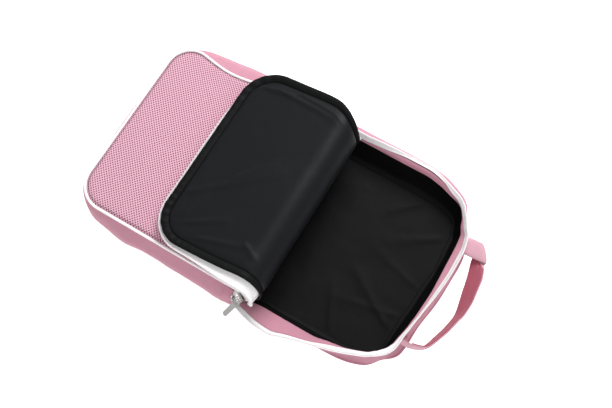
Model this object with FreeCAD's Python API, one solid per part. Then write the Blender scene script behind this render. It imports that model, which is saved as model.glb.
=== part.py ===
"""Soft paddle case: a padded, zipped case lying on its back with its flap folded open.

Frame: millimetres, +Z out of the front face, +Y towards the carry handle, +X towards the side
where the zip slider rests. The origin is the centre of the back panel's outer face.

The case is a rounded-rectangle tray of cloth. Its side wall, the gusset, bulges outwards. The
lower front is a fixed padded mesh panel. The upper front is a flap of the same make-up, held by
a zip on three sides. The flap folds at two lines, so it is built in three lengths: the fixed
front, a short fold strip and the flap itself. Every flap piece is modelled shut, in line with
the front, and then turned to where it rests: folded back over the front.
"""

import FreeCAD
import Part

import math
import os

from FreeCAD import Vector

# ---- Driving dimensions -------------------------------------------------------------------

CASE_WIDTH = 236.0          # across the front, piping to piping
CASE_LENGTH = 430.0         # along the front, piping to piping
CASE_DEPTH = 50.0           # back face to front face
CORNER_BOTTOM = 34.0        # corner radius of the closed end
CORNER_TOP = 42.0           # corner radius of the handle end
BULGE = 11.0                # how far the gusset swells beyond the front's edge

SHELL_CLOTH = 0.9           # coated outer cloth
LINING_CLOTH = 0.5
FOAM = 4.0
MESH_CLOTH = 1.6            # spacer mesh on the front
PIPING_RADIUS = 1.6
SEAM_GAP = 0.1              # air between sewn layers, so that no two solids share volume
EDGE_GAP = 1.5              # front panel's edge, inside the piping line
BACK_LIP = 1.0              # back panel's edge, outside the piping line

ZIP_END_Y = 8.0             # where the zip's closed end is, on both sides
ZIP_DROP = 8.0              # from the front face down to the zip's centre line
COIL_GAP = 1.8              # between the two open coils
COIL_WIDTH = 1.5
COIL_THICKNESS = 2.4
TAPE_CLOTH = 0.7
BODY_TAPE_WIDTH = 6.6
FACING_WIDTH = 16.0
FLAP_BORDER = 10.5          # black binding round the flap's lining
BORDER_CLOTH = 0.9
BINDING_WIDTH = 5.0         # tape over the raw seam inside the back
BINDING_CLOTH = 1.1
BINDING_INSET = 3.0
TOPSTITCH_INSET = 4.2
TOPSTITCH_RADIUS = 0.4

FOLD_Y = 30.0               # first fold line
FOLD_STRIP = 36.0           # from the first fold line to the second
FOLD_GAP = 0.3              # each panel stops this far short of a fold line
FOLD_RISE = 0.3             # fold axes lie this far above the piping
FOLD_1_OPEN = 87.0          # degrees the strip has turned when the flap is folded back
FOLD_2_OPEN = 106.5         # degrees the flap has turned on the strip

SLIDER_REST_GAP = 0.3       # between the slider and the zip's end stop
SLIDER_LENGTH = 11.0
SLIDER_WIDTH = 9.0
SLIDER_PLATE = 1.4
SLIDER_CHANNEL = 3.4        # between the two plates
SLIDER_SLOT = 2.0           # between the flanges, for the tapes
SLIDER_FLANGE = 1.0
SLIDER_POST = 1.1
SLIDER_POST_LENGTH = 3.5
BRIDGE_LENGTH = 7.2
BRIDGE_POST = 1.2
BRIDGE_WIDTH = 1.0
BRIDGE_RISE = 4.0           # outer plate to the middle of the bridge's beam
BRIDGE_RADIUS = 0.6
TAB_LENGTH = 24.0
TAB_RAIL = 1.2
TAB_THICKNESS = 0.9
TAB_EYE_WIDTH = 4.0
TAB_EYE_LENGTH = 6.0
TAB_PLAY = 0.15
TAB_EYE_BEHIND = 2.5        # the eye's reach behind the bridge
TAB_REST_TILT = 20.0        # degrees that the tab stands off the tape

STOP_LENGTH = 1.6
STOP_THICKNESS = 3.2
END_TAB_LENGTH = 12.0

HANDLE_SPAN = 144.0         # between the outer faces of the two legs
HANDLE_REACH = 16.0         # how far the grip stands off the hinge line
HANDLE_BASE_SPAN = 150.0
HANDLE_WIDTH = 25.0
HANDLE_CLOTH = 2.2
HANDLE_BEND = 9.0
HANDLE_ROOT_RADIUS = 4.0
HANDLE_CLEARANCE = 0.5
HANDLE_HEIGHT = 22.0        # height of the hinge line above the back
HANDLE_DROOP = 30.0         # degrees below level at rest
WEBBING_LENGTH = 96.0
WEBBING_WIDTH = 19.0
WEBBING_CLOTH = 1.2
ANCHOR_LENGTH = 15.0
ANCHOR_CLOTH = 1.4
BARTACK_LENGTH = 10.0
BARTACK_HEIGHT = 1.6
BARTACK_THREAD = 0.5

# ---- Worked out from them -----------------------------------------------------------------

HALF_WIDTH = CASE_WIDTH / 2
HALF_LENGTH = CASE_LENGTH / 2
ZIP_HEIGHT = CASE_DEPTH - ZIP_DROP

PIPING_HEIGHT = CASE_DEPTH - SEAM_GAP
WALL_FOOT = SHELL_CLOTH
WALL_TOP = PIPING_HEIGHT - PIPING_RADIUS - SEAM_GAP
WALL_CENTRE_Z = (WALL_FOOT + WALL_TOP) / 2
WALL_HALF_CHORD = (WALL_TOP - WALL_FOOT) / 2
WALL_RADIUS = (WALL_HALF_CHORD**2 + BULGE**2) / (2 * BULGE)
WALL_CENTRE_U = BULGE - WALL_RADIUS

LINING_DEPTH = SHELL_CLOTH + SEAM_GAP
TAPE_DEPTH = (SHELL_CLOTH + SEAM_GAP) / 2
BACK_STACK = SHELL_CLOTH + FOAM + LINING_CLOTH
FRONT_STACK = MESH_CLOTH + FOAM + LINING_CLOTH

FOLD_HEIGHT = PIPING_HEIGHT + PIPING_RADIUS + FOLD_RISE
FLAP_Y = FOLD_Y + FOLD_STRIP

COIL_NEAR = COIL_GAP / 2
COIL_FAR = COIL_NEAR + COIL_WIDTH
TAPE_FAR = COIL_FAR + BODY_TAPE_WIDTH
HANDLE_HINGE_Y = HALF_LENGTH + BULGE + ANCHOR_CLOTH + SEAM_GAP + HANDLE_ROOT_RADIUS + HANDLE_CLEARANCE


def wall_angle(height):
    """Angle on the gusset's arc, in degrees, of a point of its outer face at this height."""
    return math.degrees(math.asin((height - WALL_CENTRE_Z) / WALL_RADIUS))


ZIP_ANGLE = wall_angle(ZIP_HEIGHT)
TOP_ANGLE = wall_angle(WALL_TOP)
FOOT_ANGLE = wall_angle(WALL_FOOT)


def zip_angle(distance):
    """Angle on the gusset's arc of a point this far up the wall from the zip's centre line."""
    return ZIP_ANGLE + math.degrees(distance / (WALL_RADIUS - TAPE_DEPTH))


SEW_ANGLE = zip_angle(-TAPE_FAR)
FACING_ANGLE = zip_angle(-TAPE_FAR - FACING_WIDTH)
LINING_FOOT_ANGLE = wall_angle(BACK_STACK + 2 * SEAM_GAP)
LINING_TOP_ANGLE = wall_angle(CASE_DEPTH - FRONT_STACK - 2 * SEAM_GAP)
SLIDER_REST_Y = ZIP_END_Y + STOP_LENGTH + SLIDER_REST_GAP + SLIDER_LENGTH / 2


# ---- Paths round the case, profiles across them -------------------------------------------

def corner(x_sign, y_sign, radius, start):
    centre = Vector(x_sign * (HALF_WIDTH - radius), y_sign * (HALF_LENGTH - radius), 0)
    return ("arc", centre, radius, start)


def straight(x0, y0, x1, y1):
    return ("line", Vector(x0, y0, 0), Vector(x1, y1, 0))


def top_path(y_start):
    """Anticlockwise round the handle end, from y_start on the +X side to y_start on the -X side."""
    shoulder = HALF_LENGTH - CORNER_TOP
    inner = HALF_WIDTH - CORNER_TOP
    return [
        straight(HALF_WIDTH, y_start, HALF_WIDTH, shoulder),
        corner(1, 1, CORNER_TOP, 0),
        straight(inner, HALF_LENGTH, -inner, HALF_LENGTH),
        corner(-1, 1, CORNER_TOP, 90),
        straight(-HALF_WIDTH, shoulder, -HALF_WIDTH, y_start),
    ]


def bottom_path(y_end):
    """Anticlockwise round the closed end, from y_end on the -X side to y_end on the +X side."""
    shoulder = -HALF_LENGTH + CORNER_BOTTOM
    inner = HALF_WIDTH - CORNER_BOTTOM
    return [
        straight(-HALF_WIDTH, y_end, -HALF_WIDTH, shoulder),
        corner(-1, -1, CORNER_BOTTOM, 180),
        straight(-inner, -HALF_LENGTH, inner, -HALF_LENGTH),
        corner(1, -1, CORNER_BOTTOM, 270),
        straight(HALF_WIDTH, shoulder, HALF_WIDTH, y_end),
    ]


def side_paths(y0, y1):
    """The two straight sides between y0 and y1."""
    return [
        [straight(HALF_WIDTH, y0, HALF_WIDTH, y1)],
        [straight(-HALF_WIDTH, y1, -HALF_WIDTH, y0)],
    ]


def sweep(profile, path):
    """One solid: profile(at) gives the face, where at(u, z) is a point u outside the path."""
    pieces = []
    for kind, first, second, *rest in path:
        if kind == "line":
            run = second - first
            outward = Vector(run.y, -run.x, 0).normalize()
            face = profile(lambda u, z, p=first, n=outward: p + n * u + Vector(0, 0, z))
            pieces.append(face.extrude(run))
        else:
            start = math.radians(rest[0])
            outward = Vector(math.cos(start), math.sin(start), 0)
            face = profile(lambda u, z, c=first, r=second, n=outward: c + n * (r + u) + Vector(0, 0, z))
            pieces.append(face.revolve(first, Vector(0, 0, 1), 90))
    if len(pieces) == 1:
        return pieces[0]
    return pieces[0].multiFuse(pieces[1:]).removeSplitter()


def band(depth_out, depth_in, low, high):
    """Profile that follows the gusset's arc, between two depths below its outer face and two angles."""
    def profile(at):
        def on_arc(radius, angle):
            a = math.radians(angle)
            return at(WALL_CENTRE_U + radius * math.cos(a), WALL_CENTRE_Z + radius * math.sin(a))
        outer, inner = WALL_RADIUS - depth_out, WALL_RADIUS - depth_in
        middle = (low + high) / 2
        edges = [
            Part.Arc(on_arc(outer, low), on_arc(outer, middle), on_arc(outer, high)).toShape(),
            Part.LineSegment(on_arc(outer, high), on_arc(inner, high)).toShape(),
            Part.Arc(on_arc(inner, high), on_arc(inner, middle), on_arc(inner, low)).toShape(),
            Part.LineSegment(on_arc(inner, low), on_arc(outer, low)).toShape(),
        ]
        return Part.Face(Part.Wire(edges))
    return profile


def bar(u0, u1, z0, z1):
    """Rectangular profile."""
    def profile(at):
        points = [at(u0, z0), at(u1, z0), at(u1, z1), at(u0, z1), at(u0, z0)]
        return Part.Face(Part.makePolygon(points))
    return profile


def cord(u, z, radius):
    """Round profile."""
    def profile(at):
        centre = at(u, z)
        axis = (at(u + 1, z) - centre).cross(Vector(0, 0, 1))
        return Part.Face(Part.Wire(Part.makeCircle(radius, centre, axis)))
    return profile


def plate(u, z0, z1, y_low=None, y_high=None):
    """Flat layer inside the outline, moved out by u. A bound of None keeps that rounded end."""
    x = HALF_WIDTH + u
    bottom, top = -HALF_LENGTH - u, HALF_LENGTH + u
    r_bottom, r_top = CORNER_BOTTOM + u, CORNER_TOP + u
    diagonal = math.sqrt(0.5)

    def rounded(x_sign, y_sign, radius, end_y):
        centre = Vector(x_sign * (x - radius), end_y - y_sign * radius, z0)
        on_side = centre + Vector(x_sign * radius, 0, 0)
        on_end = centre + Vector(0, y_sign * radius, 0)
        between = centre + Vector(x_sign * radius, y_sign * radius, 0) * diagonal
        return on_side, between, on_end

    edges, corners = [], []
    if y_low is None:
        for sign in (-1, 1):
            side, between, end = rounded(sign, -1, r_bottom, bottom)
            edges.append(Part.Arc(side, between, end).toShape())
            corners.append((side, end))
    else:
        corners += [(Vector(sign * x, y_low, z0),) * 2 for sign in (-1, 1)]
    if y_high is None:
        for sign in (1, -1):
            side, between, end = rounded(sign, 1, r_top, top)
            edges.append(Part.Arc(side, between, end).toShape())
            corners.append((side, end))
    else:
        corners += [(Vector(sign * x, y_high, z0),) * 2 for sign in (1, -1)]
    low_left, low_right, high_right, high_left = corners
    edges.append(Part.LineSegment(low_left[1], low_right[1]).toShape())
    edges.append(Part.LineSegment(low_right[0], high_right[0]).toShape())
    edges.append(Part.LineSegment(high_right[1], high_left[1]).toShape())
    edges.append(Part.LineSegment(high_left[0], low_left[0]).toShape())
    outline = Part.Wire(Part.sortEdges(edges)[0])
    return Part.Face(outline).extrude(Vector(0, 0, z1 - z0))


# ---- The back -----------------------------------------------------------------------------

def back_panel():
    return plate(BACK_LIP, 0, SHELL_CLOTH)


def back_foam():
    return plate(-EDGE_GAP, SHELL_CLOTH, SHELL_CLOTH + FOAM)


def back_lining():
    return plate(-EDGE_GAP, SHELL_CLOTH + FOAM, BACK_STACK)


def back_seam_binding():
    profile = bar(-BINDING_INSET - BINDING_WIDTH, -BINDING_INSET, BACK_STACK, BACK_STACK + BINDING_CLOTH)
    round_case = bottom_path(0) + top_path(0)
    return sweep(profile, round_case)


# ---- The gusset ---------------------------------------------------------------------------

def gusset_closed():
    return sweep(band(0, SHELL_CLOTH, FOOT_ANGLE, TOP_ANGLE), bottom_path(ZIP_END_Y))


def gusset_open():
    return sweep(band(0, SHELL_CLOTH, FOOT_ANGLE, SEW_ANGLE), top_path(ZIP_END_Y))


def gusset_lining_closed():
    profile = band(LINING_DEPTH, LINING_DEPTH + LINING_CLOTH, LINING_FOOT_ANGLE, LINING_TOP_ANGLE)
    return sweep(profile, bottom_path(ZIP_END_Y))


def gusset_lining_open():
    profile = band(LINING_DEPTH, LINING_DEPTH + LINING_CLOTH, LINING_FOOT_ANGLE, FACING_ANGLE)
    return sweep(profile, top_path(ZIP_END_Y))


def zip_facing():
    profile = band(LINING_DEPTH, LINING_DEPTH + LINING_CLOTH, FACING_ANGLE, SEW_ANGLE)
    return sweep(profile, top_path(ZIP_END_Y))


# ---- The zip ------------------------------------------------------------------------------

def tape_profile(near, far):
    return band(TAPE_DEPTH - TAPE_CLOTH / 2, TAPE_DEPTH + TAPE_CLOTH / 2, near, far)


def coil_profile(near, far):
    return band(TAPE_DEPTH - COIL_THICKNESS / 2, TAPE_DEPTH + COIL_THICKNESS / 2, near, far)


BODY_TAPE = tape_profile(SEW_ANGLE, zip_angle(-COIL_FAR))
BODY_COIL = coil_profile(zip_angle(-COIL_FAR), zip_angle(-COIL_NEAR))
FLAP_TAPE = tape_profile(zip_angle(COIL_FAR), TOP_ANGLE)
FLAP_COIL = coil_profile(zip_angle(COIL_NEAR), zip_angle(COIL_FAR))


def on_sides(profile, y0, y1):
    return Part.makeCompound([sweep(profile, path) for path in side_paths(y0, y1)])


def body_zip_tape():
    return sweep(BODY_TAPE, top_path(ZIP_END_Y))


def body_zip_coil():
    return sweep(BODY_COIL, top_path(ZIP_END_Y + STOP_LENGTH))


def zip_lead_tapes():
    """The flap's tape between the zip's end and the first fold line, where it never opens."""
    return on_sides(FLAP_TAPE, ZIP_END_Y, FOLD_Y - FOLD_GAP)


def zip_lead_coils():
    return on_sides(FLAP_COIL, ZIP_END_Y + STOP_LENGTH, FOLD_Y - FOLD_GAP)


def zip_stops():
    """A crimped stop across both coils at each end of the zip."""
    reach = STOP_THICKNESS / 2
    profile = band(TAPE_DEPTH - reach, TAPE_DEPTH + reach, zip_angle(-COIL_FAR), zip_angle(COIL_FAR))
    return on_sides(profile, ZIP_END_Y, ZIP_END_Y + STOP_LENGTH)


def zip_end_tabs():
    """A patch of outer cloth sewn over each end of the zip tape."""
    profile = band(-SHELL_CLOTH - SEAM_GAP, -SEAM_GAP, SEW_ANGLE, zip_angle(TAPE_FAR - COIL_FAR))
    return on_sides(profile, ZIP_END_Y - END_TAB_LENGTH, ZIP_END_Y)


# ---- Front and flap: one make-up, three lengths ---------------------------------------------

LINING_Z = CASE_DEPTH - FRONT_STACK
FOAM_Z = LINING_Z + LINING_CLOTH
MESH_Z = FOAM_Z + FOAM

PIPING = cord(PIPING_RADIUS - EDGE_GAP + SEAM_GAP, PIPING_HEIGHT, PIPING_RADIUS)
TOPSTITCH = cord(-TOPSTITCH_INSET, CASE_DEPTH + TOPSTITCH_RADIUS, TOPSTITCH_RADIUS)
BORDER = bar(-EDGE_GAP - FLAP_BORDER, -EDGE_GAP, LINING_Z - BORDER_CLOTH, LINING_Z)


def panel(length, layer):
    """A layer of the front, the fold strip or the flap."""
    z0, z1 = {"lining": (LINING_Z, FOAM_Z), "foam": (FOAM_Z, MESH_Z), "mesh": (MESH_Z, CASE_DEPTH)}[layer]
    y_low, y_high = {
        "front": (None, FOLD_Y - FOLD_GAP),
        "fold": (FOLD_Y + FOLD_GAP, FLAP_Y - FOLD_GAP),
        "flap": (FLAP_Y + FOLD_GAP, None),
    }[length]
    return plate(-EDGE_GAP, z0, z1, y_low, y_high)


def fold_trim(profile):
    return on_sides(profile, FOLD_Y + FOLD_GAP, FLAP_Y - FOLD_GAP)


def flap_trim(profile):
    return sweep(profile, top_path(FLAP_Y + FOLD_GAP))


def front_piping():
    return sweep(PIPING, bottom_path(FOLD_Y - FOLD_GAP))


def front_topstitch():
    return sweep(TOPSTITCH, bottom_path(FOLD_Y - FOLD_GAP))


def open_strip(shape):
    """Turns a fold-strip piece from shut to folded back."""
    return shape.rotated(Vector(0, FOLD_Y, FOLD_HEIGHT), Vector(1, 0, 0), FOLD_1_OPEN)


def open_flap(shape):
    """Turns a flap piece from shut to folded back."""
    turned = shape.rotated(Vector(0, FLAP_Y, FOLD_HEIGHT), Vector(1, 0, 0), FOLD_2_OPEN)
    return open_strip(turned)


# ---- Slider and pull tab ------------------------------------------------------------------

def zip_frame(along_wall, outward, y):
    """A point by its distance up the wall and out of it, from the middle of the zip on the +X side."""
    a = math.radians(ZIP_ANGLE)
    u = WALL_CENTRE_U + (WALL_RADIUS - TAPE_DEPTH + outward) * math.cos(a) - along_wall * math.sin(a)
    z = WALL_CENTRE_Z + (WALL_RADIUS - TAPE_DEPTH + outward) * math.sin(a) + along_wall * math.cos(a)
    return Vector(HALF_WIDTH + u, y, z)


def zip_block(t0, t1, m0, m1, y0, y1):
    """A block square to the tape at the slider: t up the wall, m out of it, y along the zip."""
    corners = [zip_frame(t, m, y0) for t, m in ((t0, m0), (t1, m0), (t1, m1), (t0, m1), (t0, m0))]
    return Part.Face(Part.makePolygon(corners)).extrude(Vector(0, y1 - y0, 0))


PLATE_IN = SLIDER_CHANNEL / 2
PLATE_OUT = PLATE_IN + SLIDER_PLATE
BEAM_OUT = PLATE_OUT + BRIDGE_RISE
RAIL_OUT = BEAM_OUT - BRIDGE_RADIUS - TAB_PLAY - TAB_THICKNESS / 2


def zip_slider():
    """Two plates joined by a post, with flanges that leave a slot each side for the tapes."""
    y0, y1 = SLIDER_REST_Y - SLIDER_LENGTH / 2, SLIDER_REST_Y + SLIDER_LENGTH / 2
    half = SLIDER_WIDTH / 2
    solid = zip_block(-SLIDER_POST / 2, SLIDER_POST / 2, -PLATE_IN, PLATE_IN, y1 - SLIDER_POST_LENGTH, y1)
    for side in (-1, 1):
        solid = solid.fuse(zip_block(-half, half, *sorted((side * PLATE_IN, side * PLATE_OUT)), y0, y1))
        for edge in (-1, 1):
            across = sorted((edge * (half - SLIDER_FLANGE), edge * half))
            solid = solid.fuse(zip_block(*across, *sorted((side * SLIDER_SLOT / 2, side * PLATE_IN)), y0, y1))
    return solid.removeSplitter()


def slider_bridge():
    """Two posts and a round beam along the zip."""
    y0, y1 = SLIDER_REST_Y - BRIDGE_LENGTH / 2, SLIDER_REST_Y + BRIDGE_LENGTH / 2
    half = BRIDGE_WIDTH / 2
    beam = Part.makeCylinder(BRIDGE_RADIUS, BRIDGE_LENGTH, zip_frame(0, BEAM_OUT, y0), Vector(0, 1, 0))
    low = zip_block(-half, half, PLATE_OUT, BEAM_OUT, y0, y0 + BRIDGE_POST)
    high = zip_block(-half, half, PLATE_OUT, BEAM_OUT, y1 - BRIDGE_POST, y1)
    return beam.multiFuse([low, high]).removeSplitter()


def pull_tab():
    """A flat tab. One rail of its eye passes under the bridge, and a bridge post stands in the eye."""
    m0, m1 = RAIL_OUT - TAB_THICKNESS / 2, RAIL_OUT + TAB_THICKNESS / 2
    y0 = SLIDER_REST_Y - TAB_RAIL / 2
    y1 = y0 + 2 * TAB_RAIL + TAB_EYE_WIDTH
    behind = TAB_EYE_BEHIND
    tab = zip_block(-TAB_LENGTH, behind + TAB_RAIL, m0, m1, y0, y1)
    eye = zip_block(behind - TAB_EYE_LENGTH, behind, m0 - 1, m1 + 1, y0 + TAB_RAIL, y1 - TAB_RAIL)
    tab = tab.cut(eye)
    centre = zip_frame(0, BEAM_OUT, SLIDER_REST_Y)
    long_edges = [e for e in tab.Edges if at_tab_end(e, y0, y1)]
    tab = tab.makeFillet((y1 - y0) * 0.45, long_edges)
    return tab.rotated(centre, Vector(0, 1, 0), -TAB_REST_TILT)


def at_tab_end(edge, y0, y1):
    """True for the two edges through the tab's thickness at its free end."""
    middle = edge.CenterOfMass
    free_end = zip_frame(-TAB_LENGTH, RAIL_OUT, middle.y)
    on_side = min(abs(middle.y - y0), abs(middle.y - y1)) < 0.01
    return on_side and (middle - free_end).Length < 0.01


# ---- Handle -------------------------------------------------------------------------------

def anchor_band(depth_out, depth_in, height, width, x0, x1):
    """A patch on the gusset at the handle end, between x0 and x1."""
    low, high = wall_angle(height - width / 2), wall_angle(height + width / 2)
    return sweep(band(depth_out, depth_in, low, high), [straight(x1, HALF_LENGTH, x0, HALF_LENGTH)])


def handle_anchors():
    """The strap's two sewn ends, flat on the gusset."""
    outer = HANDLE_BASE_SPAN / 2
    spans = ((-outer, -outer + ANCHOR_LENGTH), (outer - ANCHOR_LENGTH, outer))
    depth_out, depth_in = -SEAM_GAP - ANCHOR_CLOTH, -SEAM_GAP
    patches = [anchor_band(depth_out, depth_in, HANDLE_HEIGHT, HANDLE_WIDTH, x0, x1) for x0, x1 in spans]
    return Part.makeCompound(patches)


def handle_bartacks():
    """Two dense rows of thread across each sewn end."""
    depth_in = -2 * SEAM_GAP - ANCHOR_CLOTH
    depth_out = depth_in - BARTACK_THREAD
    middle = (HANDLE_BASE_SPAN - ANCHOR_LENGTH) / 2
    rows = []
    for sign in (-1, 1):
        for step in (-1, 1):
            height = HANDLE_HEIGHT + step * (HANDLE_WIDTH / 2 - 2 * BARTACK_HEIGHT)
            x0, x1 = sign * middle - BARTACK_LENGTH / 2, sign * middle + BARTACK_LENGTH / 2
            rows.append(anchor_band(depth_out, depth_in, height, BARTACK_HEIGHT, x0, x1))
    return Part.makeCompound(rows)


def handle_strap():
    """An arched strap: two legs and a grip, its legs narrowed where they meet the hinge line."""
    y0, y1 = HANDLE_HINGE_Y, HANDLE_HINGE_Y + HANDLE_REACH
    foot, grip = HANDLE_BASE_SPAN / 2, HANDLE_SPAN / 2 - HANDLE_REACH / 2
    y_foot = y0 - HANDLE_ROOT_RADIUS
    outside = [Vector(-foot, y_foot, 0), Vector(-grip, y1, 0), Vector(grip, y1, 0), Vector(foot, y_foot, 0)]
    wire = Part.makePolygon(outside)
    ribbon = wire.makeOffset2D(HANDLE_CLOTH, join=0, fill=True, openResult=True)
    height = HANDLE_WIDTH
    strap = ribbon.extrude(Vector(0, 0, height))
    strap.translate(Vector(0, 0, HANDLE_HEIGHT - height / 2))
    strap = strap.common(taper_prism(y0, y1 + 2 * HANDLE_CLOTH))
    return droop(strap)


def taper_prism(y0, y1):
    """The strap's side outline: round about the hinge line, widening to full width at the grip."""
    r, half, reach = HANDLE_ROOT_RADIUS, HANDLE_WIDTH / 2, HANDLE_BASE_SPAN
    z = HANDLE_HEIGHT
    wide = y0 + HANDLE_REACH * 0.7
    points = [
        Vector(-reach, y0, z - r),
        Vector(-reach, wide, z - half),
        Vector(-reach, y1, z - half),
        Vector(-reach, y1, z + half),
        Vector(-reach, wide, z + half),
        Vector(-reach, y0, z + r),
    ]
    edges = [Part.LineSegment(a, b).toShape() for a, b in zip(points, points[1:])]
    edges.append(Part.Arc(points[-1], Vector(-reach, y0 - r, z), points[0]).toShape())
    return Part.Face(Part.Wire(edges)).extrude(Vector(2 * reach, 0, 0))


def handle_webbing():
    """Firm webbing sewn along the inside of the grip."""
    y1 = HANDLE_HINGE_Y + HANDLE_REACH - HANDLE_CLOTH - SEAM_GAP
    corner_point = Vector(-WEBBING_LENGTH / 2, y1 - WEBBING_CLOTH, HANDLE_HEIGHT - WEBBING_WIDTH / 2)
    return droop(Part.makeBox(WEBBING_LENGTH, WEBBING_CLOTH, WEBBING_WIDTH, corner_point))


def droop(shape):
    """Turns the modelled-level handle down to where it rests."""
    return shape.rotated(Vector(0, HANDLE_HINGE_Y, HANDLE_HEIGHT), Vector(1, 0, 0), -HANDLE_DROOP)


# ---- Every node ---------------------------------------------------------------------------

def nodes():
    made = {
        "back_panel": back_panel(),
        "back_foam": back_foam(),
        "back_lining": back_lining(),
        "back_seam_binding": back_seam_binding(),
        "gusset_closed": gusset_closed(),
        "gusset_open": gusset_open(),
        "gusset_lining_closed": gusset_lining_closed(),
        "gusset_lining_open": gusset_lining_open(),
        "zip_facing": zip_facing(),
        "body_zip_tape": body_zip_tape(),
        "body_zip_coil": body_zip_coil(),
        "zip_lead_tapes": zip_lead_tapes(),
        "zip_lead_coils": zip_lead_coils(),
        "zip_stops": zip_stops(),
        "zip_end_tabs": zip_end_tabs(),
        "front_piping": front_piping(),
        "front_topstitch": front_topstitch(),
        "handle_anchors": handle_anchors(),
        "handle_bartacks": handle_bartacks(),
        "handle_strap": handle_strap(),
        "handle_webbing": handle_webbing(),
        "zip_slider": zip_slider(),
        "slider_bridge": slider_bridge(),
        "pull_tab": pull_tab(),
    }
    for layer in ("mesh", "foam", "lining"):
        made["front_" + layer] = panel("front", layer)
        made["fold_" + layer] = open_strip(panel("fold", layer))
        made["flap_" + layer] = open_flap(panel("flap", layer))
    trims = {"border": BORDER, "piping": PIPING, "zip_tape": FLAP_TAPE, "zip_coil": FLAP_COIL}
    for name, profile in trims.items():
        made["fold_" + name] = open_strip(fold_trim(profile))
        made["flap_" + name] = open_flap(flap_trim(profile))
    return made


def main():
    os.makedirs("parts", exist_ok=True)
    for name, shape in nodes().items():
        if not shape.isValid() or not shape.Solids:
            raise ValueError(name + " is not a valid solid")
        shape.exportStep("parts/" + name + ".step")
    second = open_strip(Part.Vertex(0, FLAP_Y, FOLD_HEIGHT)).Point
    beam = zip_frame(0, BEAM_OUT, SLIDER_REST_Y)
    pivots = {
        "first fold": Vector(0, FOLD_Y, FOLD_HEIGHT),
        "second fold": second,
        "handle": Vector(0, HANDLE_HINGE_Y, HANDLE_HEIGHT),
        "pull tab": beam,
    }
    for name, point in pivots.items():
        print("pivot,", name + ":", *(round(value, 3) for value in point))


if __name__ == "__main__":
    main()
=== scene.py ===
"""Visual model of a soft zipped paddle case, lying on its back with its flap folded open.

Shapes are worked out in millimetres in the part's own frame: +X across the width to the zip slider,
+Y along the length to the carry handle, +Z out of the front. Each cloth piece is a grid of points
that is given its real thickness. The path round the case is measured in millimetres from the middle
of the slider's side, anticlockwise seen from the front.
"""

import math

import bmesh
import bpy
import numpy as np
from mathutils import Matrix, Vector


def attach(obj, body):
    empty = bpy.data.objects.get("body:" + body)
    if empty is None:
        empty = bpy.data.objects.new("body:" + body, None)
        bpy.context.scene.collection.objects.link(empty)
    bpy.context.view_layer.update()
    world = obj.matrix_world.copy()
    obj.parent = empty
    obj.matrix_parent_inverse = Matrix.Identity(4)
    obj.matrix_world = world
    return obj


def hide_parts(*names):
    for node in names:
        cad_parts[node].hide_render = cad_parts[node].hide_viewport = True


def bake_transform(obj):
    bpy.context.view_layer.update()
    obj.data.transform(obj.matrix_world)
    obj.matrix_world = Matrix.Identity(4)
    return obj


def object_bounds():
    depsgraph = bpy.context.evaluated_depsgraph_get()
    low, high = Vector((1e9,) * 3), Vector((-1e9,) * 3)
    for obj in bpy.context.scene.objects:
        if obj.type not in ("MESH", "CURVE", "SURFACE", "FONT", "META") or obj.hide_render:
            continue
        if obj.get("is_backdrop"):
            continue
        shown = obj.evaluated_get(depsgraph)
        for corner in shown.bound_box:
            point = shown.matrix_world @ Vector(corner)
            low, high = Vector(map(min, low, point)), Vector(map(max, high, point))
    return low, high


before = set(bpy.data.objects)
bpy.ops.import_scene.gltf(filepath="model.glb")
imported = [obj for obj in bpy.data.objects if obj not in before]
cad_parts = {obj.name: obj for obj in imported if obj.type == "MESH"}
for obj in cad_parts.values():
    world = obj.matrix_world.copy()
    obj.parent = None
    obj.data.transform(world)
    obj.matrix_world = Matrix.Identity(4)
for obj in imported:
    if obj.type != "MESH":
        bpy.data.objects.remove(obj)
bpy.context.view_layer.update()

MM = 0.001
# A wave texture of scale 1 repeats about this often, in the units of its vector.
WAVE_REPEAT = 0.31

# ---- The case's sizes, in millimetres --------------------------------------------------------

HALF_WIDTH, HALF_LENGTH = 118.0, 215.0
CORNER_TOP, CORNER_BOTTOM = 42.0, 34.0
SHELL_CLOTH, LINING_CLOTH, TAPE_CLOTH = 0.9, 0.5, 0.7
PAD_MIDDLE = 47.0
ZIP_START = 8.0

SIDE = HALF_LENGTH - CORNER_TOP
TOP_ARC, BOTTOM_ARC = math.pi / 2 * CORNER_TOP, math.pi / 2 * CORNER_BOTTOM
TOP_RUN, BOTTOM_RUN = 2 * (HALF_WIDTH - CORNER_TOP), 2 * (HALF_WIDTH - CORNER_BOTTOM)
LOW_SIDE = HALF_LENGTH - CORNER_BOTTOM
ROUND = 2 * (SIDE + LOW_SIDE) + 2 * (TOP_ARC + BOTTOM_ARC) + TOP_RUN + BOTTOM_RUN


def near(y):
    """Distance round the case of a point on the slider's side."""
    return y % ROUND


def top_end(x):
    return SIDE + TOP_ARC + HALF_WIDTH - CORNER_TOP - x


def far(y):
    return SIDE + 2 * TOP_ARC + TOP_RUN + SIDE - y


def bottom_end(x):
    return far(-LOW_SIDE) + BOTTOM_ARC + HALF_WIDTH - CORNER_BOTTOM + x


# ---- Small tools -----------------------------------------------------------------------------

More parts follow.
